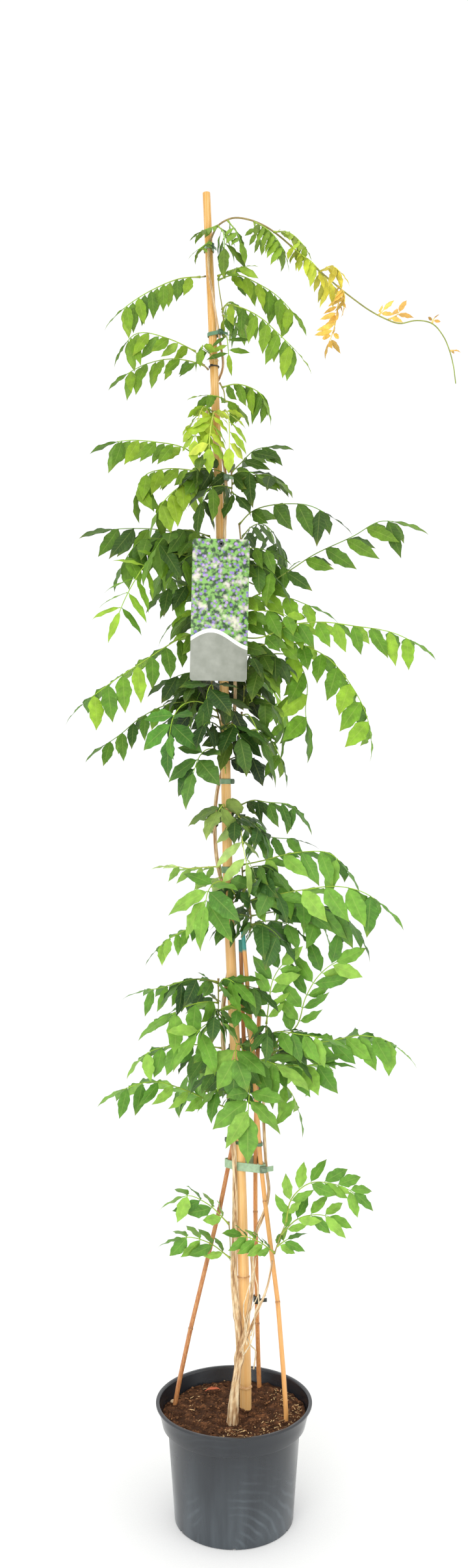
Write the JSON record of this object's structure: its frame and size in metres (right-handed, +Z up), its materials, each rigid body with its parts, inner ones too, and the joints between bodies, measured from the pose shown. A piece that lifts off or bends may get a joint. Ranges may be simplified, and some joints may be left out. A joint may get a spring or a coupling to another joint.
{
  "type": "potted japanese wisteria",
  "caption": "Climbing wisteria with hanging feather-shaped leaves, tied to a tall bamboo cane and thin side canes in a round nursery pot, with a plain hanging card.",
  "frame": {"origin": "middle of the pot's flat bottom, on the plane that it stands on", "axes": "+Z up along the pot's axis, -Y the side seen in the picture, +X to the right as seen from the front"},
  "size_m": [0.602, 0.3426, 2.0365],
  "materials": {
    "pot": "dark slate plastic, slightly glossy",
    "soil": "loose dark peat compost with bark bits and straw; fabric stands in for earth",
    "bamboo_cane": "smooth pale orange-tan bamboo with node rings",
    "thin_cane": "reddish-brown split bamboo",
    "bark": "rough light tan bark with pale strands",
    "green_tie": "grey-green soft plastic",
    "dark_tie": "dark plastic",
    "label_card": "satin printed card",
    "leaf": "mid green leaf, satin; fabric stands in for living leaf",
    "dark_leaf": "dark green leaf, satin; fabric stands in for living leaf",
    "young_leaf": "young runner leaf, yellow-green turning orange-bronze toward the tip; fabric stands in for living leaf",
    "pale_leaf": "pale yellow-green young leaf; fabric stands in for living leaf"
  },
  "bodies": {
    "root": {"pot": "pot", "soil": "soil", "cane_main": "bamboo_cane", "cane_left": "thin_cane", "cane_right": "thin_cane", "cane_back": "thin_cane", "stem_woody": "bark", "label": "label_card", "label_tie": "dark_tie", "shoot_centre_1": "leaf", "shoot_centre_2": "dark_leaf", "shoot_front_1": "leaf", "shoot_front_2": "pale_leaf", "shoot_front_3": "leaf", "shoot_front_4": "leaf", "shoot_front_5": "leaf", "shoot_left_1": "leaf", "shoot_left_2": "leaf", "shoot_left_3": "leaf", "shoot_left_4": "dark_leaf", "shoot_left_5": "leaf", "shoot_left_6": "dark_leaf", "shoot_left_7": "pale_leaf", "shoot_left_8": "leaf", "shoot_left_9": "leaf", "shoot_low_left": "leaf", "shoot_low_right": "leaf", "shoot_pale": "pale_leaf", "shoot_right_1": "leaf", "shoot_right_2": "dark_leaf", "shoot_right_3": "leaf", "shoot_right_4": "leaf", "shoot_right_5": "dark_leaf", "shoot_right_6": "leaf", "shoot_right_7": "dark_leaf", "shoot_right_8": "leaf", "shoot_right_9": "leaf", "shoot_runner": "young_leaf", "tie_big": "green_tie", "tie_clip_back": "dark_tie", "tie_foot": "dark_tie", "tie_lower": "green_tie", "tie_middle": "green_tie", "tie_ring": "green_tie", "tie_shoulder": "green_tie", "tie_top": "green_tie", "tie_upper": "green_tie", "tie_waist": "green_tie"}
  },
  "joints": []
}
